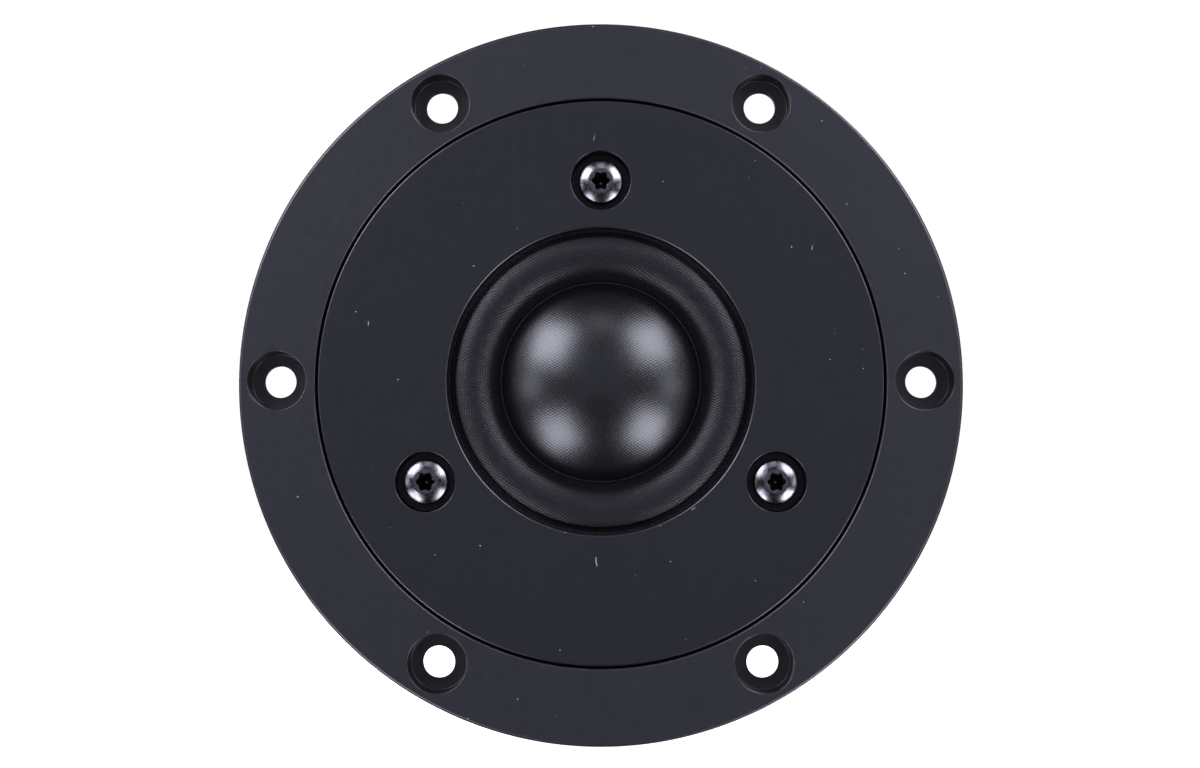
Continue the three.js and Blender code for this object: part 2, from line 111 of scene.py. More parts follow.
SCREWS = 3
SCREW_PCR = 29
RECESS_R = 4.28  # recess of each face screw
RECESS_EDGE = 0.16
RECESS_FLOOR_Y = -1.75
HEAD_R = 3.2
CROWN_R = 5.9  # ball radius of the head's domed top
SOCKET_R = 1.4  # six-lobe socket, to the tips of its lobes
SHANK_R = 1.7
SHANK_HOLE_R = 1.95

RING_SCREW_PCR = 38.8
RING_SCREW_R = 1.1
RING_SCREW_HOLE_R = 1.25
RING_SCREW_SINK_R = 1.95

CHAMBER_SCREW_PCR = 27.6
CHAMBER_SCREW_R = 1.35
CHAMBER_HOLE_R = 1.7

DOME_R, DOME_TOP_Y, DOME_Y = reach("dome")
CLOTH = 0.3
ROLL_R = 3.9  # radius of the half roll's arc
ROLL_PCR = 18.72  # radius of its crest from the axis
CREST_Y = -3.75
ROLL_LEAN = (30.5, 59.8)  # slope of the roll at its outer and inner end, degrees
ROLL_OUT_R = 21  # outer wall of the roll
FLANGE_R = 23.7
FLANGE_Y = -1.7
RING_GAP = 0.2  # between the surround's wall and the diaphragm's plastic ring
PIN_R = 0.8
FORMER_R = 14.05
FORMER_WALL = 0.2
WINDING_R = 14.6

SLOT_Y = (0.1, 4)  # depth of the slots that let the leads and the terminal block through
LEAD_GATE = 6.2  # half the width of the leads' way out
TAB_X = 5  # half the distance between the two tabs
TAB_THICK = 0.5
TAB_Z = -35.5  # inner face of the tabs where they run rearwards
STRIP_Y = 1.55  # front of the tabs' strip
RIVET_Z = -30.5
RIVET_HOLE_R = 0.95

GAP_R = 15  # bore of the top plate
MAGNET_BORE_R = 16.8
POLE_R = 13.1
VENT_R = 4.5
CAP_WALL = 0.4
FELT_R = 12

CHAMBER_R = 24
CHAMBER_WALL = 2
CHAMBER_FLANGE = 2.5
CHAMBER_DISH_R = 17  # shallow recess in its back
CHAMBER_DISH = 0.4

# ------------------------------------------------------------------ mesh building


def link(name, verts, faces):
    """A closed mesh object from points in mm, with its faces turned outwards."""
    mesh = bpy.data.meshes.new(name)
    mesh.from_pydata([Vector(v) * MM for v in verts], [], faces)
    bm = bmesh.new()
    bm.from_mesh(mesh)
    bmesh.ops.recalc_face_normals(bm, faces=bm.faces)
    bm.to_mesh(mesh)
    bm.free()
    obj = bpy.data.objects.new(name, mesh)
    bpy.context.scene.collection.objects.link(obj)
    return obj


def arc(r, y, radius, a0, a1, steps):
    """Points of an arc in the (radius, y) plane, from angle a0 to a1 in degrees."""
    angles = np.radians(np.linspace(a0, a1, steps + 1))
    return [(r + radius * math.cos(a), y + radius * math.sin(a)) for a in angles]


def rounded(outline, steps=5):
    """Rounds each corner (r, y, radius) of a closed outline. A corner (r, y) stays sharp."""
    out = []
    count = len(outline)
    for i, corner in enumerate(outline):
        here = Vector(corner[:2])
        if len(corner) == 2:
            out.append(tuple(here))
            continue
        to_last = (Vector(outline[i - 1][:2]) - here).normalized()
        to_next = (Vector(outline[(i + 1) % count][:2]) - here).normalized()
        half = to_last.angle(to_next) / 2
        start = here + to_last * corner[2] / math.tan(half)
        end = here + to_next * corner[2] / math.tan(half)
        middle = here + (to_last + to_next).normalized() * corner[2] / math.sin(half)
        for k in range(steps + 1):
            spoke = (start - middle).lerp(end - middle, k / steps).normalized()
            out.append(tuple(middle + spoke * corner[2]))
    return out


def lathe(name, outline, segments=ROUND, centre=(0, 0), warp=None):
    """Turns a closed outline of (radius, y) round a line along Y through centre, an (x, z) point.

    Points on the axis are shared by all segments. warp(radius, y, angle) may change a point's radius.
    """
    verts, faces, rows = [], [], []
    angles = [2 * math.pi * s / segments for s in range(segments)]
    for r, y in outline:
        if r < 1e-6:
            rows.append([len(verts)] * segments)
            verts.append((centre[0], y, centre[1]))
            continue
        rows.append(list(range(len(verts), len(verts) + segments)))
        for a in angles:
            size = warp(r, y, a) if warp else r
            verts.append((centre[0] + size * math.cos(a), y, centre[1] + size * math.sin(a)))
    for i, row in enumerate(rows):
        following = rows[(i + 1) % len(rows)]
        for s in range(segments):
            t = (s + 1) % segments
            corners = [row[s], row[t], following[t], following[s]]
            face = list(dict.fromkeys(corners))
            if len(face) > 2:
                faces.append(face)
    return link(name, verts, faces)


def slab(name, x, y, z):
    """A box between pairs of x, y and z, for joining and cutting."""
    verts = [(x[i], y[j], z[k]) for i in (0, 1) for j in (0, 1) for k in (0, 1)]
    faces = [(0, 1, 3, 2), (4, 6, 7, 5), (0, 4, 5, 1), (2, 3, 7, 6), (0, 2, 6, 4), (1, 5, 7, 3)]
    return link(name, verts, faces)


def bake(obj):
    """Replaces the object's mesh by what its modifiers make of it."""
    graph = bpy.context.evaluated_depsgraph_get()
    mesh = bpy.data.meshes.new_from_object(obj.evaluated_get(graph))
    obj.modifiers.clear()
    obj.data = mesh
    return obj


def boolean(obj, others, operation):
    for other in others:
        step = obj.modifiers.new(operation, "BOOLEAN")
        step.operation = operation
        step.solver = "MANIFOLD"
        step.object = other
    bake(obj)
    for other in others:
        bpy.data.objects.remove(other)
    return obj


def cut(obj, cutters):
    return boolean(obj, cutters, "DIFFERENCE")


def join(obj, others):
    return boolean(obj, others, "UNION")


def smooth(obj, angle=32):
    """Smooth shading with sharp edges kept, and normals weighted so that flat faces stay flat."""
    obj.data.shade_smooth()
    obj.data.set_sharp_from_angle(angle=math.radians(angle))
    weighted = obj.modifiers.new("weighted", "WEIGHTED_NORMAL")
    weighted.keep_sharp = True
    return bake(obj)


def bevel(obj, width, steps=3, angle=35):
    edge = obj.modifiers.new("bevel", "BEVEL")
    edge.width = width * MM
    edge.segments = steps
    edge.limit_method = "ANGLE"
    edge.angle_limit = math.radians(angle)
    return bake(obj)


def drill(x, z, outline, segments=SMALL, warp=None):
    """A turned cutter along Y through (x, z)."""
    return lathe("cutter", outline, segments, (x, z), warp)


def hole(x, z, y0, y1, r, segments=SMALL):
    return drill(x, z, [(0, y0), (r, y0), (r, y1), (0, y1)], segments)


def spots(count, radius, first):
    """Places on a circle in the face plane: angle 0 is +X and 90 is +Z."""
    angles = [math.radians(first + 360 / count * i) for i in range(count)]
    return [(radius * math.cos(a), radius * math.sin(a)) for a in angles]


hole_spots = spots(HOLES, HOLE_PCR, 0)
screw_spots = spots(SCREWS, SCREW_PCR, 90)
ring_screw_spots = spots(SCREWS, RING_SCREW_PCR, 90)
chamber_screw_spots = spots(SCREWS, CHAMBER_SCREW_PCR, 30)
pin_spots = spots(2, (ROLL_OUT_R + SEAT_R) / 2, 0)

# ------------------------------------------------------------------ material nodes


class Shader:
    """A Principled material and short ways to add nodes to it. Texture space is millimetres."""

    def __init__(self, name, **sockets):
        self.material = bpy.data.materials.new(name)
        self.material.use_nodes = True
        self.tree = self.material.node_tree
        self.surface = self.tree.nodes["Principled BSDF"]
        for socket, value in sockets.items():
            title = socket.replace("_", " ").title().replace("Ior", "IOR")
            self.surface.inputs[title].default_value = value
        coordinates = self.node("ShaderNodeTexCoord")
        self.mm = self.node("ShaderNodeVectorMath", operation="SCALE")
        self.mm.inputs["Scale"].default_value = 1 / MM
        self.wire(coordinates.outputs["Object"], self.mm.inputs[0])

    def node(self, kind, **settings):
        made = self.tree.nodes.new(kind)
        for key, value in settings.items():
            setattr(made, key, value)
        return made

    def wire(self, out, into):
        self.tree.links.new(out, into)

    def into(self, title, out):
        self.wire(out, self.surface.inputs[title])

    def math(self, operation, a, b=None, clamp=False):
        made = self.node("ShaderNodeMath", operation=operation, use_clamp=clamp)
        for slot, x in zip(made.inputs, (a, b)):
            if isinstance(x, (int, float)):
                slot.default_value = x
            elif x is not None:
                self.wire(x, slot)
        return made.outputs[0]

    def noise(self, size, detail=3.0, roughness=0.5, vector=None):
        """Noise with features about size mm across."""
        made = self.node("ShaderNodeTexNoise")
        made.inputs["Scale"].default_value = 1 / size
        made.inputs["Detail"].default_value = detail
        made.inputs["Roughness"].default_value = roughness
        self.wire(vector or self.mm.outputs[0], made.inputs["Vector"])
        return made.outputs["Fac"]

    def cells(self, size, feature="F1", vector=None):
        made = self.node("ShaderNodeTexVoronoi", feature=feature)
        made.inputs["Scale"].default_value = 1 / size
        self.wire(vector or self.mm.outputs[0], made.inputs["Vector"])
        return made.outputs["Distance"]

    def ramp(self, fac, low, high, out_low=0.0, out_high=1.0):
        made = self.node("ShaderNodeMapRange")
        self.wire(fac, made.inputs["Value"])
        for title, x in zip(("From Min", "From Max", "To Min", "To Max"), (low, high, out_low, out_high)):
            made.inputs[title].default_value = x
        return made.outputs["Result"]

    def mix(self, fac, a, b):
        """A colour between a and b, each a linear RGB triple or a socket."""
        made = self.node("ShaderNodeMix", data_type="RGBA")
        if isinstance(fac, (int, float)):
            made.inputs[0].default_value = fac
        else:
            self.wire(fac, made.inputs[0])
        for slot, x in ((made.inputs[6], a), (made.inputs[7], b)):
            if isinstance(x, tuple):
                slot.default_value = (*x, 1)
            else:
                self.wire(x, slot)
        return made.outputs[2]

    def bump(self, height, depth, strength=1.0, normal=None):
        """Adds a bump whose height socket of 1 stands depth mm proud."""
        made = self.node("ShaderNodeBump")
        made.inputs["Strength"].default_value = strength
        made.inputs["Distance"].default_value = depth * MM
        self.wire(height, made.inputs["Height"])
        if normal:
            self.wire(normal, made.inputs["Normal"])
        self.wire(made.outputs[0], self.surface.inputs["Normal"])
        return made.outputs[0]

    def xyz(self, vector=None):
        split = self.node("ShaderNodeSeparateXYZ")
        self.wire(vector or self.mm.outputs[0], split.inputs[0])
        return split.outputs

    def radius(self):
        """Distance from the tweeter's axis, mm."""
        x, _, z = self.xyz()
        return self.math("SQRT", self.math("ADD", self.math("MULTIPLY", x, x), self.math("MULTIPLY", z, z)))


def satin_black(name, dark, light, roughness, shaded_sinks):
    """Black anodised aluminium, bead blasted: satin, faintly mottled, with specks and threads of dust on it.

    The last argument is (count, circle, first, radius, specular level inside): inside each of these circles
    the base colour is a fixed near-black without dust and the specular is lower, as painted shade for the
    recess.
    """
    s = Shader(name, roughness=roughness, ior=1.5)
    count, circle, first, sink_r, recess_shade_gloss = shaded_sinks
    x, y, z = s.xyz()
    angle = s.math("SUBTRACT", s.math("ARCTAN2", z, x), math.radians(first))
    sector = 2 * math.pi / count
    nearest = s.math("MULTIPLY", s.math("ROUND", s.math("DIVIDE", angle, sector)), sector)
    folded = s.math("SUBTRACT", angle, nearest)
    radius = s.radius()
    off_x = s.math("SUBTRACT", s.math("MULTIPLY", radius, s.math("COSINE", folded)), circle)
    off_z = s.math("MULTIPLY", radius, s.math("SINE", folded))
    away = s.math("SQRT", s.math("ADD", s.math("MULTIPLY", off_x, off_x), s.math("MULTIPLY", off_z, off_z)))
    # painted shade mask: 0 inside the counterbores or recesses in front of y = -0.5 mm, 1 on the open face
    unshaded_face = s.math("MAXIMUM", s.ramp(away, sink_r - 0.05, sink_r + 0.05), s.ramp(y, -0.6, -0.5))
    s.into("Specular IOR Level", s.ramp(unshaded_face, 0, 1, recess_shade_gloss, 0.5))
    mottle = s.ramp(s.noise(7, 4, 0.6), 0.35, 0.68)
    grain = s.noise(0.2, 2, 0.6)
    tone = s.mix(mottle, dark, light)
    specks = s.ramp(s.cells(2.6), 0.045, 0.03, 0, 0.8)
    dust = s.math("MULTIPLY", specks, s.ramp(s.noise(2.1, 2), 0.46, 0.52), clamp=True)
    for turn in (25, 115):
        lie = s.node("ShaderNodeMapping")
        lie.inputs["Rotation"].default_value = (0, math.radians(turn), 0)
        lie.inputs["Scale"].default_value = (1, 1, 0.09)
        bent = s.node("ShaderNodeVectorMath", operation="MULTIPLY_ADD")
        wave = s.node("ShaderNodeTexNoise")
        wave.inputs["Scale"].default_value = 0.45
        wave.inputs["Detail"].default_value = 0
        s.wire(s.mm.outputs[0], wave.inputs["Vector"])
        s.wire(wave.outputs["Color"], bent.inputs[0])
        bent.inputs[1].default_value = (0.9, 0.9, 0.9)
        s.wire(s.mm.outputs[0], bent.inputs[2])
        s.wire(bent.outputs[0], lie.inputs["Vector"])
        thread_at = s.ramp(s.cells(3.4, vector=lie.outputs[0]), 0.035, 0.022, 0, 0.75)
        rare = s.ramp(s.noise(8, 1, 0.5, lie.outputs[0]), 0.54, 0.57)
        dust = s.math("MAXIMUM", dust, s.math("MULTIPLY", thread_at, rare, clamp=True))
    finish = s.mix(dust, tone, (0.2, 0.2, 0.21))
    # painted shade: a fixed near-black colour inside the counterbores and recesses
    s.into("Base Color", s.mix(unshaded_face, (0.0024, 0.0023, 0.0023), finish))
    s.into("Roughness", s.ramp(s.noise(1.3, 3), 0.3, 0.7, roughness - 0.025, roughness + 0.025))
    blasted = s.bump(grain, 0.0012)
    s.bump(s.noise(5, 2), 0.01, normal=blasted)
    return s.material


def woven(s, pitch, turns):
    """Height of a close weave laid flat across the face: 0 between threads, 1 on them.

    turns are the two directions, in degrees, in which the threads follow one another.
    """
    x, _, z = s.xyz()
    wander = s.math("MULTIPLY", s.noise(1.8, 1), 0.5)
    height = 0.5
    for turn in turns:
        c, sn = math.cos(math.radians(turn)), math.sin(math.radians(turn))
        across = s.math("ADD", s.math("MULTIPLY", x, c), s.math("MULTIPLY", z, sn))
        wave = s.math("SINE", s.math("MULTIPLY", s.math("ADD", across, wander), 2 * math.pi / pitch))
        height = s.math("ADD", s.math("MULTIPLY", wave, 0.25), height)
    return height


WEAVE = (0.35, (58, 118))


def dome_cloth():
    """Woven cloth pressed into a dome, with a soft black coating; its specular is lowered towards the glued
    edge as painted shade beside the valley.
    """
    s = Shader("dome_cloth", roughness=0.26, ior=1.5)
    weave = woven(s, *WEAVE)
    blotch = s.ramp(s.noise(1.1, 4, 0.65), 0.3, 0.7)
    tone = s.mix(blotch, (0.0018, 0.0018, 0.0021), (0.0032, 0.0032, 0.0038))
    s.into("Base Color", s.mix(s.ramp(weave, 0.1, 0.9), (0.001, 0.001, 0.0012), tone))
    s.into("Roughness", s.ramp(weave, 0.1, 0.9, 0.34, 0.26))
    # painted shade: specular lowered over the dome's outer edge, next to the valley
    s.into("Specular IOR Level", s.ramp(s.radius(), DOME_R - 2.2, DOME_R - 1.1, 0.5, 0.16))
    threads = s.bump(weave, 0.0085, 1)
    s.bump(s.noise(1.4, 2), 0.006, 0.6, normal=threads)
    return s.material


def surround_cloth():
    """The same cloth under a thicker damping coat, glossiest on the roll's crest; its specular is cut towards
    its foot as painted shade for the valley beside the dome.
    """
    s = Shader("surround_cloth", roughness=0.38, ior=1.5)
    radius = s.radius()
    from_crest = s.math("ABSOLUTE", s.math("SUBTRACT", radius, ROLL_PCR))
    # painted shade: specular falls to 0.4 of its value towards the foot, in the valley beside the dome
    foot = s.ramp(radius, DOME_R + 0.7, DOME_R + 1.9, 0.4, 1)
    s.into("Specular IOR Level", s.math("MULTIPLY", s.ramp(from_crest, 0.4, 1.5, 0.27, 0.18), foot))
    weave = woven(s, *WEAVE)
    blotch = s.ramp(s.noise(0.8, 4, 0.7), 0.3, 0.72)
    s.into("Base Color", s.mix(blotch, (0.0024, 0.0024, 0.003), (0.004, 0.004, 0.005)))
    s.into("Roughness", s.ramp(s.noise(0.5, 3), 0.3, 0.7, 0.34, 0.42))
    threads = s.bump(weave, 0.034, 1)
    grain = s.bump(s.noise(0.4, 3, 0.6), 0.02, 0.8, normal=threads)
    s.bump(s.noise(2.2, 2), 0.04, 0.5, normal=grain)
    return s.material


def polished_black():
    """Black chromate over zinc on a turned steel screw."""
    s = Shader("polished_black", metallic=1.0, roughness=0.2)
    wear = s.ramp(s.noise(0.9, 2, 0.6), 0.35, 0.7)
    s.into("Base Color", s.mix(wear, (0.095, 0.095, 0.1), (0.15, 0.148, 0.146)))
    s.into("Roughness", s.ramp(s.noise(0.5, 2), 0.3, 0.7, 0.16, 0.27))
    s.bump(s.noise(0.7, 2), 0.008, 0.6)
    return s.material


def steel():
    """Turned low-carbon steel, bright zinc plated."""
    s = Shader("zinc_steel", metallic=1.0, roughness=0.3)
    radius = s.radius()
    rings = s.node("ShaderNodeTexNoise", noise_dimensions="1D")
    rings.inputs["Scale"].default_value = 6
    s.wire(radius, rings.inputs["W"])
    cloud = s.ramp(s.noise(6, 4), 0.3, 0.7)
    s.into("Base Color", s.mix(cloud, (0.30, 0.31, 0.33), (0.42, 0.42, 0.43)))
    s.into("Roughness", s.ramp(cloud, 0, 1, 0.34, 0.46))
    s.bump(rings.outputs["Fac"], 0.01, 0.6)
    return s.material


def ferrite():
    """Sintered ferrite: dark grey, matt, with fine pits and grinding dust."""
    s = Shader("ferrite", roughness=0.62, ior=1.6)
    cloud = s.ramp(s.noise(9, 5, 0.6), 0.3, 0.7)
    pits = s.ramp(s.cells(0.7), 0.0, 0.2)
    tone = s.mix(cloud, (0.028, 0.027, 0.028), (0.055, 0.052, 0.052))
    s.into("Base Color", s.mix(pits, (0.014, 0.013, 0.013), tone))
    s.into("Roughness", s.ramp(s.noise(2, 3), 0.3, 0.7, 0.5, 0.75))
    grain = s.bump(pits, 0.02, 0.5)
    s.bump(s.noise(0.4, 4, 0.7), 0.03, 0.6, normal=grain)
    return s.material


def moulded(name, dark, light, roughness):
    """Moulded plastic or powder-coated casting, with a fine spark-eroded grain."""
    s = Shader(name, roughness=roughness, ior=1.5)
    cloud = s.ramp(s.noise(8, 3), 0.3, 0.7)
    grain = s.noise(0.3, 3, 0.6)
    s.into("Base Color", s.mix(cloud, dark, light))
    s.into("Roughness", s.ramp(grain, 0.3, 0.7, roughness - 0.06, roughness + 0.08))
    s.bump(grain, 0.02, 0.8)
    return s.material


def foam():
    s = Shader("foam", roughness=0.9, ior=1.45, specular_ior_level=0.2)
    bubbles = s.cells(0.35)
    s.into("Base Color", s.mix(s.ramp(bubbles, 0.1, 0.6), (0.003, 0.003, 0.003), (0.011, 0.011, 0.012)))
    s.bump(bubbles, 0.08, 0.8)
    return s.material


def felt():
    s = Shader("felt", roughness=1.0, sheen_weight=0.5, sheen_roughness=0.6)
    stretch = s.node("ShaderNodeVectorMath", operation="MULTIPLY")
    stretch.inputs[1].default_value = (1, 4, 1)
    s.wire(s.mm.outputs[0], stretch.inputs[0])
    hairs = s.noise(0.5, 6, 0.75, stretch.outputs[0])
    s.into("Base Color", s.mix(s.ramp(hairs, 0.3, 0.7), (0.16, 0.165, 0.18), (0.42, 0.42, 0.44)))
    s.bump(hairs, 0.2, 0.9)
    return s.material


def metal(name, dark, light, roughness):
    """Bare or plated sheet and wire, drawn and a little tarnished."""
    s = Shader(name, metallic=1.0, roughness=roughness)
    cloud = s.ramp(s.noise(1.8, 4, 0.65), 0.3, 0.7)
    s.into("Base Color", s.mix(cloud, dark, light))
    s.into("Roughness", s.ramp(s.noise(0.6, 3), 0.3, 0.7, roughness - 0.07, roughness + 0.1))
    s.bump(s.noise(0.6, 2), 0.002, 0.7)
    return s.material


def amber_film():
    s = Shader("amber_film", roughness=0.25, ior=1.6, transmission_weight=0.2)
    cloud = s.ramp(s.noise(3, 3), 0.3, 0.7)
    s.into("Base Color", s.mix(cloud, (0.30, 0.11, 0.02), (0.46, 0.19, 0.04)))
    s.bump(s.noise(2.5, 2), 0.02, 0.5)
    return s.material


def glue():
    s = Shader("glue", roughness=0.4, ior=1.4)
    cloud = s.ramp(s.noise(1.2, 3), 0.3, 0.7)
    s.into("Base Color", s.mix(cloud, (0.008, 0.0065, 0.004), (0.016, 0.013, 0.009)))
    s.bump(s.noise(0.5, 3), 0.03, 0.7)
    return s.material


# Where painted shade goes: the ring's counterbores and the plate's screw recesses, with the specular level
# inside them.
RING_SINK_SHADE = (HOLES, HOLE_PCR, 0, SINK_R + 0.05, 0.36)
PLATE_RECESS_SHADE = (SCREWS, SCREW_PCR, 90, RECESS_R + 0.05, 0.2)
BLACK_RING = satin_black("ring_black", (0.0028, 0.0028, 0.0044), (0.0034, 0.0034, 0.0054), 0.38, RING_SINK_SHADE)
BLACK_PLATE = satin_black("plate_black", (0.0014, 0.0015, 0.0024), (0.0018, 0.0019, 0.0030), 0.32, PLATE_RECESS_SHADE)
SCREW = polished_black()
DOME_CLOTH = dome_cloth()
SURROUND_CLOTH = surround_cloth()
STEEL = steel()
FERRITE = ferrite()
PLASTIC = moulded("black_plastic", (0.012, 0.012, 0.013), (0.02, 0.02, 0.021), 0.5)
CASTING = moulded("chamber_black", (0.016, 0.016, 0.018), (0.024, 0.024, 0.027), 0.48)
FOAM = foam()
FELT = felt()
COPPER = metal("copper", (0.50, 0.19, 0.09), (0.68, 0.31, 0.17), 0.28)
ENAMEL = metal("enamelled_copper", (0.36, 0.10, 0.04), (0.52, 0.19, 0.08), 0.3)
TINNED = metal("tinned_brass", (0.34, 0.34, 0.32), (0.48, 0.48, 0.46), 0.36)
FILM = amber_film()
GLUE = glue()


def finish_piece(obj, material, slot, *nodes, body=CHASSIS, angle=32):
    """Shades a piece, gives it its material and puts it on its body in place of its CAD nodes."""
    obj.data.materials.clear()
    obj.data.materials.append(material)
    smooth(obj, angle)
    if nodes:
        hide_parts(*nodes)
    if body:
        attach(obj, body)
    return obj


# ------------------------------------------------------------------ front


def mounting_ring():
    ring = lathe(
        "mounting_ring_fine",
        rounded(
            [
                (LEDGE_R, 0, 0.12),
                (LEDGE_R, LEDGE_Y, 0.12),
                (RING_BORE_R, LEDGE_Y, 0.1),
                (RING_BORE_R, FRONT_Y, FACE_EDGE),
                (RING_R, FRONT_Y, 0.5),
                (RING_R, 0, 0.2),
                (GROOVE_OUT_R, 0, 0.08),
                (GROOVE_OUT_R, -GROOVE_DEPTH, 0.08),
                (GROOVE_IN_R, -GROOVE_DEPTH, 0.08),
                (GROOVE_IN_R, 0, 0.08),
            ]
        ),
        FINE,
    )
    floor = FRONT_Y + SINK_DEPTH
    rim = 0.14
    sink = [
        (0, FRONT_Y - 1),
        (SINK_R + rim, FRONT_Y - 1),
        *arc(SINK_R + rim, FRONT_Y + rim, rim, -90, -180, 5),
        *arc(SINK_R - 0.27, floor - 0.12, 0.12, 0, 90, 4),
        (HOLE_R + 0.1, floor),
        (HOLE_R, floor + 0.1),
        (HOLE_R, 1),
        (0, 1),
    ]
    screw_sink = [
        (0, LEDGE_Y - 0.8),
        (RING_SCREW_HOLE_R, LEDGE_Y - 0.8),
        (RING_SCREW_HOLE_R, -1.1),
        (RING_SCREW_SINK_R, -0.25),
        (RING_SCREW_SINK_R, 1),
        (0, 1),
    ]
    cutters = [drill(x, z, sink) for x, z in hole_spots]
    cutters += [drill(x, z, screw_sink) for x, z in ring_screw_spots]
    cut(ring, cutters)
    return finish_piece(ring, BLACK_RING, "ring_black", "mounting_ring")


def face_plate():
    plate = lathe(
        "face_plate_fine",
        rounded(
            [
                (MOUTH_R, LIP_Y, 0.1),
                (MOUTH_R, FRONT_Y, MOUTH_EDGE),
                (PLATE_R, FRONT_Y, FACE_EDGE),
                (PLATE_R, LEDGE_Y - 0.05, 0.12),
                (BOSS_R, LEDGE_Y - 0.05, 0.1),
                (BOSS_R, BOSS_Y, 0.3),
                (SEAT_R, BOSS_Y, 0.2),
                (SEAT_R, LIP_Y, 0.1),
            ]
        ),
        FINE,
    )
    recess = [
        (0, FRONT_Y - 1),
        (RECESS_R + RECESS_EDGE, FRONT_Y - 1),
        *arc(RECESS_R + RECESS_EDGE, FRONT_Y + RECESS_EDGE, RECESS_EDGE, -90, -180, 5),
        *arc(RECESS_R - 0.25, RECESS_FLOOR_Y - 0.25, 0.25, 0, 90, 4),
        (SHANK_HOLE_R, RECESS_FLOOR_Y),
        (SHANK_HOLE_R, BOSS_Y + 1),
        (0, BOSS_Y + 1),
    ]
    cutters = [drill(x, z, recess) for x, z in screw_spots]
    cutters += [hole(x, z, -3.1, 0, RING_SCREW_HOLE_R) for x, z in ring_screw_spots]
    block_low, block_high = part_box("terminal_block")
    inner_z = block_high.z / MM
    block_half = block_high.x / MM + 0.3
    lead_half = LEAD_GATE + 0.3
    cutters.append(slab("cutter", (-block_half, block_half), SLOT_Y, (block_low.z / MM - 2, inner_z + 0.3)))
    cutters.append(slab("cutter", (-lead_half, lead_half), SLOT_Y, (inner_z, -MOUTH_R)))
    cut(plate, cutters)
    return finish_piece(plate, BLACK_PLATE, "plate_black", "face_plate")


# ------------------------------------------------------------------ screws


def thread(crest, depth, pitch, y0, y1, turn):
    """Rows down a shank from y0 to y1, and the warp that makes a helical thread of them."""
    count = max(2, int((y1 - y0) / pitch * 8))
    rows = [(crest, y0 + (y1 - y0) * i / count) for i in range(count + 1)]

    def warp(r, y, angle):
        if abs(r - crest) > 1e-6:
            return r
        phase = (y / pitch - turn * angle / (2 * math.pi)) % 1
        ends = min(1.0, abs(y1 - y) / pitch, abs(y - y0) / (0.5 * pitch))
        return crest - depth * (1 - abs(2 * phase - 1)) - depth * (1 - ends)

    return rows, warp


def lobed(major, minor):
    """Warp that makes a six-lobe outline of a circle whose radius is major."""
    mean, swing = (major + minor) / 2, (major - minor) / 2
    return lambda r, y, a: r * (mean + swing * math.cos(6 * a)) / major


def face_screw(number, centre):
    """Button head with a six-lobe socket, sunk in the face plate."""
    x, z = centre
    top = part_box(f"face_screw_{number}")[0].y / MM - 0.07
    seat = RECESS_FLOOR_Y - 0.05
    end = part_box(f"face_screw_{number}")[1].y / MM
    rows, warp = thread(SHANK_R, 0.28, 0.6, seat + 0.3, end, 1)
    edge = math.degrees(math.asin((HEAD_R - 0.05) / CROWN_R)) - 90
    rise = arc(0, top + CROWN_R, CROWN_R, -89, edge, 20)
    outline = [
        (0, top),
        *rise,
        (HEAD_R, rise[-1][1] + 0.1),
        (HEAD_R, seat - 0.12),
        (HEAD_R - 0.12, seat),
        (1.55, seat),
        *rows,
        (0.9, end),
        (0, end),
    ]
    screw = lathe(f"face_screw_{number}_fine", outline, SMALL * 2, centre, warp)
    socket = [
        (0, top - 1),
        (SOCKET_R, top - 1),
        (SOCKET_R, top + 0.9),
        (0.2, top + 2.6),
        (0, top + 2.65),
    ]
    dish = hole(x, z, top - 1, top + 0.26, SOCKET_R + 0.35)
    cut(screw, [dish, drill(x, z, socket, 72, lobed(SOCKET_R, 1.08))])
    bevel(screw, 0.05, 2, 50)
    return finish_piece(screw, SCREW, "screw_black", f"face_screw_{number}")


def ring_screw(number, centre):
    """Countersunk screw from behind, through the ring's ledge into the face plate."""
    x, z = centre
    low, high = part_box(f"ring_screw_{number}")
    front, back = low.y / MM, high.y / MM
    rows, warp = thread(RING_SCREW_R, 0.2, 0.4, front + 0.15, back - 1, 1)
    outline = [
        (0, front),
        (0.8, front),
        *rows,
        (1.72, back - 0.14),
        (1.72, back - 0.04),
        (1.66, back),
        (0, back),
    ]
    screw = lathe(f"ring_screw_{number}_fine", outline, SMALL, centre, warp)
    socket = [(0, back + 1), (0.85, back + 1), (0.85, back - 0.6), (0, back - 0.8)]
    cut(screw, [drill(x, z, socket, 48, lobed(0.85, 0.62))])
    return finish_piece(screw, SCREW, "screw_black", f"ring_screw_{number}")


def chamber_screw(number, centre):
    """Pan-head screw with a cross recess, through the chamber's flange into the back plate."""
    x, z = centre
    low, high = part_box(f"chamber_screw_{number}")
    front, back = low.y / MM, high.y / MM
    seat = back - 1.9
    rows, warp = thread(CHAMBER_SCREW_R, 0.24, 0.5, front + 0.2, seat - 0.2, 1)
    outline = [
        (0, front),
        (0.9, front),
        *rows,
        (1.25, seat),
        (2.4, seat),
        (2.5, seat + 0.1),
        (2.5, seat + 0.75),
        *arc(1.5, seat + 0.9, 1.0, -5, 75, 8),
        (0, back),
    ]
    screw = lathe(f"chamber_screw_{number}_fine", outline, SMALL, centre, warp)
    arms = []
    for wide, tall in ((1.45, 0.32), (0.32, 1.45)):
        arms.append(slab("cutter", (x - wide, x + wide), (back - 1.1, back + 1), (z - tall, z + tall)))
    cut(screw, arms)
    bevel(screw, 0.04, 2, 50)
    return finish_piece(screw, SCREW, "screw_black", f"chamber_screw_{number}")


# ------------------------------------------------------------------ diaphragm


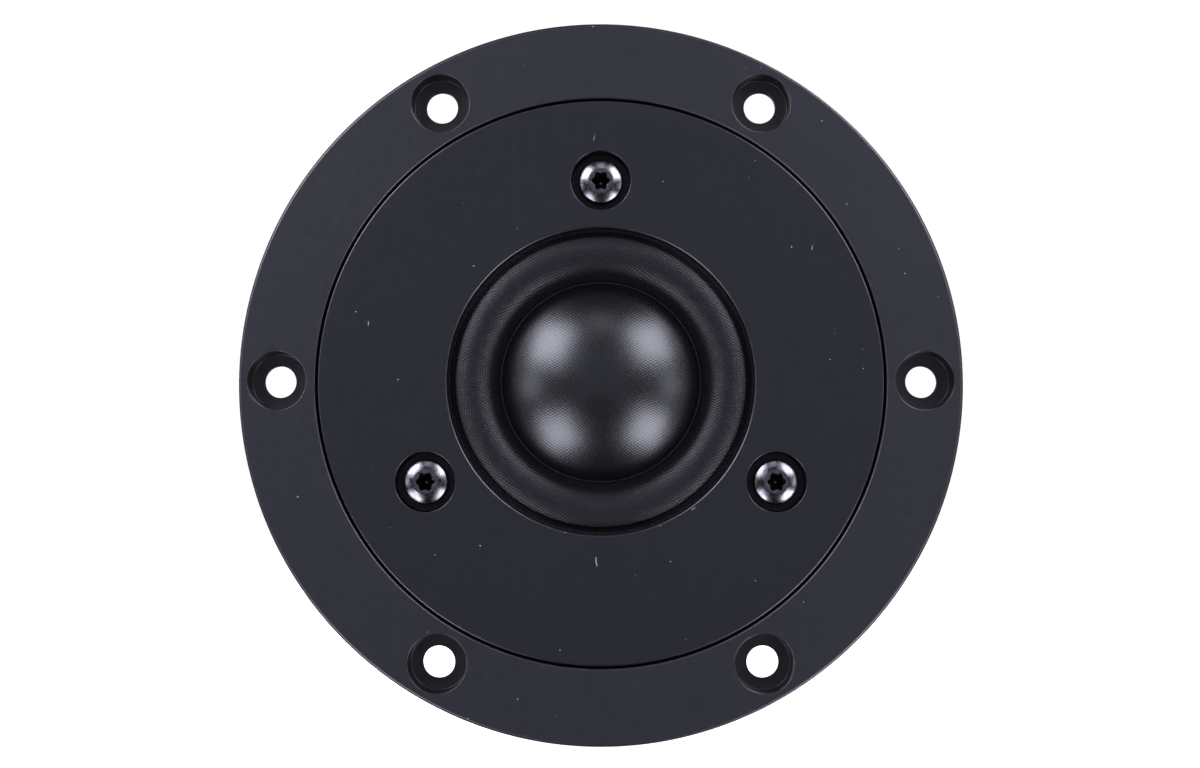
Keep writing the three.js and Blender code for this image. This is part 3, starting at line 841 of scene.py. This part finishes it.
def cap_points(half, rim_y, rise, steps):
    """Outline of a spherical cap from its axis to its rim."""
    ball = (half ** 2 + rise ** 2) / (2 * rise)
    edge = math.degrees(math.asin(half / ball))
    return arc(0, rim_y - rise + ball, ball, -90, edge - 90, steps)


def dome():
    rise = DOME_Y - DOME_TOP_Y
    outside = cap_points(DOME_R, DOME_Y, rise, 40)
    inside = cap_points(DOME_R - CLOTH, DOME_Y, rise - CLOTH, 40)
    outline = [(0, outside[0][1]), *outside[1:], *reversed(inside[1:]), (0, inside[0][1])]
    shell = lathe("dome_fine", outline, FINE)
    return finish_piece(shell, DOME_CLOTH, "dome_cloth", "dome", body=DIAPHRAGM, angle=60)


def surround():
    """Half roll on a low wall, between the clamped flange and the dome.
    """
    out, inner = ROLL_LEAN
    centre_y = CREST_Y + ROLL_R
    wall, foot = ROLL_OUT_R, DOME_R + 0.1
    foot_y = DOME_Y + 0.12
    front = arc(ROLL_PCR, centre_y, ROLL_R, out - 90, -90 - inner, 44)
    back = arc(ROLL_PCR, centre_y, ROLL_R - CLOTH, -90 - inner, out - 90, 44)
    outline = [
        (FLANGE_R, FLANGE_Y + CLOTH, 0.1),
        (FLANGE_R, FLANGE_Y, 0.1),
        (wall, FLANGE_Y, 0.2),
        (wall, FLANGE_Y - 1.32, 0.3),
        *front,
        (foot + 0.05, foot_y, 0.05),
        (foot, foot_y + CLOTH, 0.05),
        (foot + 0.45, foot_y + CLOTH, 0.05),
        *back,
        (wall - CLOTH, FLANGE_Y - 1.12, 0.15),
        (wall - CLOTH, FLANGE_Y + CLOTH, 0.3),
    ]
    outline = rounded(outline, 4)
    edge = lathe("surround_fine", outline, FINE)
    finish_piece(edge, SURROUND_CLOTH, "dome_cloth", "surround", body=None, angle=50)
    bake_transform(edge)
    return edge


def glue_line():
    """Bead of glue where the dome, the surround's foot and the former meet."""
    bead = lathe("glue_line", arc(DOME_R + 0.04, DOME_Y, 0.07, 0, 330, 11), FINE)
    return finish_piece(bead, GLUE, "former_film", body=DIAPHRAGM)


def ring_between(name, node, inner, outer, edge, material, slot, cutters=(), body=CHASSIS, segments=ROUND):
    """A plain ring with rounded edges, as long along the axis as its CAD node."""
    _, y0, y1 = reach(node)
    outline = [(inner, y0, edge), (outer, y0, edge), (outer, y1, edge), (inner, y1, edge)]
    ring = lathe(name, rounded(outline, 4), segments)
    if cutters:
        cut(ring, list(cutters))
    return finish_piece(ring, material, slot, node, body=body)


def winding():
    """Two layers of enamelled wire, seen as one row of turns."""
    _, y0, y1 = reach("voice_coil_winding")
    turns = 20
    wire = (y1 - y0) / turns / 2
    inner, outer = FORMER_R + FORMER_WALL + 0.05, WINDING_R
    outline = [(inner, y0), (outer - wire, y0)]
    for i in range(turns):
        outline += arc(outer - wire, y0 + wire * (2 * i + 1), wire, -80, 80, 5)
    outline += [(outer - wire, y1), (inner, y1)]
    coil = lathe("voice_coil_winding_fine", outline, ROUND)
    return finish_piece(coil, ENAMEL, "copper", "voice_coil_winding", body=DIAPHRAGM, angle=60)


def diaphragm_ring():
    low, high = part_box("diaphragm_ring")
    front = low.y / MM
    outline = [
        (ROLL_OUT_R + RING_GAP, front, 0.15),
        (SEAT_R - 0.3, front, 0.1),
        (SEAT_R - 0.3, BOSS_Y, 0.15),
        (ROLL_OUT_R + RING_GAP, BOSS_Y, 0.15),
    ]
    ring = lathe("diaphragm_ring_fine", rounded(outline, 4), ROUND)
    cut(ring, [slab("cutter", (-LEAD_GATE, LEAD_GATE), SLOT_Y, (-SEAT_R - 5, -DOME_R))])
    end = high.y / MM
    pin = [(0, BOSS_Y - 1), (PIN_R, BOSS_Y - 1), (PIN_R, end - 0.25), (PIN_R - 0.25, end), (0, end)]
    join(ring, [drill(x, z, pin, 40) for x, z in pin_spots])
    return finish_piece(ring, PLASTIC, "black_plastic", "diaphragm_ring")


# ------------------------------------------------------------------ leads and terminals


def spline(points, steps):
    """Catmull-Rom curve through points, with steps between each pair."""
    pts = [Vector(p) for p in points]
    pts = [pts[0] * 2 - pts[1], *pts, pts[-1] * 2 - pts[-2]]
    out = []
    for i in range(1, len(pts) - 2):
        p0, p1, p2, p3 = pts[i - 1 : i + 3]
        for k in range(steps):
            t = k / steps
            curve = p1 * 2 + (p2 - p0) * t + (p0 * 2 - p1 * 5 + p2 * 4 - p3) * t * t
            out.append((curve + (p1 * 3 - p0 - p2 * 3 + p3) * t ** 3) / 2)
    return [*out, pts[-2]]


def lead_wire(name, side):
    """Stranded lead from the coil, under the surround, to its tab."""
    route = [
        (2.2, 2.2, -14.4),
        (2.4, 1.1, -14.6),
        (3.1, 0.55, -15.8),
        (4.4, 1.1, -18.2),
        (TAB_X, 1.8, -20.8),
        (TAB_X, 1.7, -23.2),
        (TAB_X, 1.8, -24.9),
    ]
    line = spline([(side * x, y, z) for x, y, z in route], 14)
    sides = 36
    verts, faces = [], []
    along, normal = 0.0, Vector((1, 0, 0))
    for i, p in enumerate(line):
        ahead = line[min(i + 1, len(line) - 1)] - line[max(i - 1, 0)]
        tangent = ahead.normalized()
        normal = (normal - tangent * normal.dot(tangent)).normalized()
        other = tangent.cross(normal)
        along += (p - line[i - 1]).length if i else 0
        for k in range(sides):
            a = 2 * math.pi * k / sides
            strand = 0.155 + 0.04 * abs(math.sin(3 * a + along * 5))
            verts.append(p + normal * math.cos(a) * strand + other * math.sin(a) * strand)
    for i in range(len(line) - 1):
        for k in range(sides):
            m = (k + 1) % sides
            faces.append((i * sides + k, i * sides + m, (i + 1) * sides + m, (i + 1) * sides + k))
    faces.append(tuple(range(sides)))
    faces.append(tuple(range(len(verts) - sides, len(verts))))
    wire = link(f"lead_wire_{name}_fine", verts, faces)
    finish_piece(wire, COPPER, "copper", f"lead_wire_{name}", body=None, angle=60)
    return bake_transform(wire)


def terminal_block():
    low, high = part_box("terminal_block")
    x = high.x / MM
    leg_end = high.y / MM
    z0, z1 = low.z / MM, high.z / MM
    y0 = low.y / MM
    body = slab("terminal_block_fine", (-x, x), (y0, STRIP_Y - 0.05), (z0, z1))
    parts = [
        slab("leg", (-x, x), (y0, leg_end), (z0, z0 + 1.3)),
        slab("rib", (-0.6, 0.6), (y0 + 0.25, leg_end), (z0 + 0.2, TAB_Z + 0.7)),
    ]
    join(body, parts)
    bevel(body, 0.22, 3)
    cutters = []
    for side in (-1, 1):
        cutters.append(hole(side * TAB_X, RIVET_Z, -1, 3, RIVET_HOLE_R, 40))
        cutters.append(hole(side * TAB_X, RIVET_Z, -1, y0 + 0.5, RIVET_HOLE_R + 0.55, 40))
    cut(body, cutters)
    return finish_piece(body, PLASTIC, "black_plastic", "terminal_block")


def terminal_tab(name, side):
    """Strip on the block, bent to a blade with a tapered tip and a latch hole."""
    low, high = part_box(f"terminal_tab_{name}")
    x0, x1 = low.x / MM, high.x / MM
    y_end, z_in, back = high.y / MM, high.z / MM, low.z / MM
    bend = 0.9  # outer radius of the bend
    tip = 0.8  # length of the tapered tip
    profile = rounded(
        [
            (z_in, STRIP_Y),
            (z_in, STRIP_Y + TAB_THICK),
            (TAB_Z, STRIP_Y + TAB_THICK, bend - TAB_THICK),
            (TAB_Z, y_end - tip),
            (TAB_Z - 0.12, y_end),
            (back + 0.12, y_end),
            (back, y_end - tip),
            (back, STRIP_Y, bend),
        ],
        6,
    )
    verts = [(x, y, z) for x in (x0, x1) for z, y in profile]
    count = len(profile)
    faces = [(i, (i + 1) % count, count + (i + 1) % count, count + i) for i in range(count)]
    faces += [tuple(range(count)), tuple(range(count, 2 * count))]
    tab = link(f"terminal_tab_{name}_fine", verts, faces)
    x = side * TAB_X
    corners = []
    for sign in (-1, 1):
        edge = x0 if sign < 0 else x1
        nip = slab("cutter", (-0.6, 0.6), (-0.6, 0.6), (-40, -30))
        for v in nip.data.vertices:
            u, w = v.co.x, v.co.y
            v.co.x = (u + w) * math.sqrt(0.5) + edge * MM
            v.co.y = (w - u) * math.sqrt(0.5) + (y_end + 0.25) * MM
        corners.append(nip)
    corners.append(hole(x, RIVET_Z, 0, 4, RIVET_HOLE_R, 40))
    latch = lathe("cutter", [(0, -3), (0.75, -3), (0.75, 3), (0, 3)], 40)
    for v in latch.data.vertices:
        a, b, c = v.co
        v.co = (a + x * MM, c + (y_end - 3.5) * MM, b + TAB_Z * MM)
    cut(tab, [*corners, latch])
    bevel(tab, 0.06, 2, 40)
    return finish_piece(tab, TINNED, "tinned_brass", f"terminal_tab_{name}")


def rivet(name, side):
    low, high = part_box(f"terminal_rivet_{name}")
    y0, y1 = low.y / MM, high.y / MM
    seat = STRIP_Y + TAB_THICK + 0.05
    outline = [
        (0, y0),
        (1.1, y0),
        (1.3, y0 + 0.15),
        (1.3, y0 + 0.3),
        (1.2, 0.6),
        (0.8, 0.6),
        (0.8, seat),
        (1.25, seat),
        (1.3, seat + 0.08),
        (1.15, y1 - 0.06),
        (0.7, y1),
        (0.4, y1 - 0.08),
        (0, y1 - 0.3),
    ]
    pin = lathe(f"terminal_rivet_{name}_fine", outline, 56, (side * TAB_X, RIVET_Z))
    return finish_piece(pin, TINNED, "tinned_brass", f"terminal_rivet_{name}")


# ------------------------------------------------------------------ motor


def top_plate():
    r, y0, y1 = reach("top_plate")
    cutters = [hole(x, z, y0 - 1, y1 + 1, SHANK_R + 0.15) for x, z in screw_spots]
    cutters += [hole(x, z, y0 - 1, y0 + 1.8, PIN_R + 0.2) for x, z in pin_spots]
    return ring_between("top_plate_fine", "top_plate", GAP_R, r, 0.35, STEEL, "motor_steel", cutters)


def magnet():
    r = reach("ferrite_magnet")[0]
    bore = MAGNET_BORE_R
    return ring_between("ferrite_magnet_fine", "ferrite_magnet", bore, r, 0.7, FERRITE, "ferrite")


def pole_yoke():
    yoke_r, pole_y, back = reach("pole_yoke")
    front = reach("ferrite_magnet")[2] + 0.05
    outline = [
        (VENT_R, pole_y, 0.4),
        (POLE_R, pole_y, 0.3),
        (POLE_R, front, 0.5),
        (yoke_r, front, 0.3),
        (yoke_r, back, 0.9),
        (VENT_R, back, 0.4),
    ]
    yoke = lathe("pole_yoke_fine", rounded(outline), ROUND)
    thread_r = CHAMBER_SCREW_R + 0.15
    cut(yoke, [hole(x, z, front + 1, back + 1, thread_r, 40) for x, z in chamber_screw_spots])
    return finish_piece(yoke, STEEL, "motor_steel", "pole_yoke")


def copper_cap():
    r, y0, y1 = reach("copper_cap")
    bore = VENT_R + 0.5
    outline = [
        (bore, y0, 0.08),
        (r, y0, 0.35),
        (r, y1, 0.08),
        (r - CAP_WALL, y1, 0.08),
        (r - CAP_WALL, y0 + CAP_WALL, 0.1),
        (bore, y0 + CAP_WALL, 0.08),
    ]
    cap = lathe("copper_cap_fine", rounded(outline, 4), ROUND)
    return finish_piece(cap, COPPER, "copper", "copper_cap")


def disc(name, node, radius, edge, material, slot):
    _, y0, y1 = reach(node)
    outline = [(0, y0), *arc(radius - edge, y0 + edge, edge, -90, 0, 6)]
    outline += [*arc(radius - edge, y1 - edge, edge, 0, 90, 6), (0, y1)]
    return finish_piece(lathe(name, outline, 96), material, slot, node)


# ------------------------------------------------------------------ rear chamber


def rear_chamber():
    flange_r, y0, y1 = reach("rear_chamber")
    r = CHAMBER_R
    inner = r - CHAMBER_WALL
    outline = [
        (inner, y0, 0.2),
        (flange_r, y0, 0.2),
        (flange_r, y0 + CHAMBER_FLANGE, 0.6),
        (r, y0 + CHAMBER_FLANGE, 0.9),
        (r, y1, 1.6),
        (CHAMBER_DISH_R, y1, 0.15),
        (CHAMBER_DISH_R, y1 - CHAMBER_DISH, 0.1),
        (0, y1 - CHAMBER_DISH),
        (0, y1 - CHAMBER_WALL),
        (inner, y1 - CHAMBER_WALL, 1),
    ]
    cup = lathe("rear_chamber_fine", rounded(outline, 7), ROUND)
    cut(cup, [hole(x, z, y0 - 1, y0 + 5, CHAMBER_HOLE_R, 40) for x, z in chamber_screw_spots])
    return finish_piece(cup, CASTING, "chamber_black", "rear_chamber")


def chamber_gasket():
    r, y0, y1 = reach("chamber_gasket")
    bore = CHAMBER_R - CHAMBER_WALL
    holes = [hole(x, z, y0 - 1, y1 + 1, CHAMBER_HOLE_R, 40) for x, z in chamber_screw_spots]
    return ring_between("chamber_gasket_fine", "chamber_gasket", bore, r, 0.2, FOAM, "foam", holes)


mounting_ring()
face_plate()
for i in range(SCREWS):
    face_screw(i + 1, screw_spots[i])
    ring_screw(i + 1, ring_screw_spots[i])
    chamber_screw(i + 1, chamber_screw_spots[i])
dome()
surround()
glue_line()
winding()
diaphragm_ring()
ring_between(
    "voice_coil_former_fine",
    "voice_coil_former",
    FORMER_R,
    FORMER_R + FORMER_WALL,
    0.04,
    FILM,
    "former_film",
    body=DIAPHRAGM,
)
groove = (GROOVE_IN_R + 0.2, GROOVE_OUT_R - 0.2)
ring_between("baffle_gasket_fine", "baffle_gasket", *groove, 0.2, FOAM, "foam", segments=FINE)
ring_between("diaphragm_gasket_fine", "diaphragm_gasket", MOUTH_R - 0.4, SEAT_R - 0.3, 0.08, FOAM, "foam")
for tab_name, tab_side in (("positive", 1), ("negative", -1)):
    lead_wire(tab_name, tab_side)
    terminal_tab(tab_name, tab_side)
    rivet(tab_name, tab_side)
terminal_block()
top_plate()
magnet()
pole_yoke()
copper_cap()
ring_between("pole_felt_ring_fine", "pole_felt_ring", VENT_R + 0.6, FELT_R, 0.3, FELT, "felt")
disc("vent_felt_plug_fine", "vent_felt_plug", VENT_R - 0.3, 0.5, FELT, "felt")
rear_chamber()
chamber_gasket()
wool = disc("chamber_wool_fine", "chamber_wool", CHAMBER_R - CHAMBER_WALL - 0.5, 2, FELT, "felt")

# ------------------------------------------------------------------ studio

TARGET = Vector((0, FRONT_Y * MM, 0.0))


def aim(obj, place, target):
    obj.location = place
    obj.rotation_euler = (Vector(target) - Vector(place)).to_track_quat("-Z", "Y").to_euler()


def softbox(name, place, size, watts, tint=(1, 1, 1)):
    """Square area light, aimed at the middle of the face."""
    lamp = bpy.data.lights.new(name, "AREA")
    lamp.shape = "SQUARE"
    lamp.size = size
    lamp.energy = watts
    lamp.color = tint
    obj = bpy.data.objects.new(name, lamp)
    bpy.context.scene.collection.objects.link(obj)
    obj.visible_camera = False
    aim(obj, place, TARGET)
    return obj


def direction(off_axis, around):
    """Unit vector off_axis degrees from straight ahead of the face, towards angle around in its plane."""
    t, p = math.radians(off_axis), math.radians(around)
    return Vector((math.sin(t) * math.cos(p), -math.cos(t), math.sin(t) * math.sin(p)))


BLUISH = (0.84, 0.85, 1.0)
FRONT_DISTANCE = 0.7
REAR_DISTANCE = 0.8
for label, off, around, watts, size in (
    ("top_right", 59, 41, 4.6, 0.37),
    ("top_right_glow", 57, 41, 1.7, 0.54),
    ("top_left", 59, 140, 5.1, 0.37),
    ("top_left_glow", 57, 140, 1.9, 0.54),
    ("low_left", 58.5, 228, 3.6, 0.335),
    ("low_left_glow", 57, 228, 1.1, 0.45),
    ("low_right", 58.5, 317, 3.9, 0.335),
    ("low_right_glow", 57, 317, 1.2, 0.45),
    ("right", 64, 0, 0.6, 0.22),
    ("left", 64, 180, 0.65, 0.22),
    ("top", 55, 90, 0.35, 0.22),
):
    softbox(label, TARGET + direction(off, around) * FRONT_DISTANCE, size, watts, BLUISH)
softbox("behind_camera", TARGET + direction(9, 90) * 1.2, 1.0, 1.75, (0.72, 0.74, 1.0))
for label, off, around, watts, size in (
    ("rear_key", 130, 60, 4.4, 0.5),
    ("rear_fill", 140, 180, 3.5, 0.5),
    ("rear_low", 120, 300, 2.5, 0.4),
):
    softbox(label, TARGET + direction(off, around) * REAR_DISTANCE, size, watts)

world = bpy.data.worlds.new("studio")
bpy.context.scene.world = world
world.use_nodes = True
nodes = world.node_tree.nodes
background = nodes["Background"]
path = nodes.new("ShaderNodeLightPath")
tone = nodes.new("ShaderNodeMix")
tone.data_type = "RGBA"
tone.inputs[6].default_value = (0.02, 0.02, 0.022, 1)
tone.inputs[7].default_value = (1.05, 1.05, 1.05, 1)
world.node_tree.links.new(path.outputs["Is Camera Ray"], tone.inputs[0])
world.node_tree.links.new(tone.outputs[2], background.inputs["Color"])

half = 4000
floor = link("floor", [(-half, -half, 0), (half, -half, 0), (half, half, 0), (-half, half, 0)], [(0, 1, 2, 3)])
floor.location.z = cad_low.z - 0.0008
white = Shader("floor_white", roughness=0.9)
white.surface.inputs["Emission Color"].default_value = (1, 1, 1, 1)
white.surface.inputs["Emission Strength"].default_value = 1.0
white.surface.inputs["Base Color"].default_value = (0.85, 0.85, 0.85, 1)
clear = white.node("ShaderNodeBsdfTransparent")
either = white.node("ShaderNodeMixShader")
white.wire(white.node("ShaderNodeNewGeometry").outputs["Backfacing"], either.inputs[0])
white.wire(white.surface.outputs[0], either.inputs[1])
white.wire(clear.outputs[0], either.inputs[2])
white.wire(either.outputs[0], white.tree.nodes["Material Output"].inputs["Surface"])
floor.data.materials.append(white.material)
floor.visible_glossy = False
floor.visible_diffuse = False
floor.visible_shadow = False

lens = bpy.data.cameras.new("camera")
lens.sensor_width = 36
lens.lens = 51.8
lens.clip_start = 0.01
lens.clip_end = 20
camera = bpy.data.objects.new("camera", lens)
bpy.context.scene.collection.objects.link(camera)
aim(camera, (0, -0.251, -0.016), (-0.00012, FRONT_Y * MM, -0.00048))
bpy.context.scene.camera = camera
bpy.context.scene.view_settings.view_transform = "Standard"
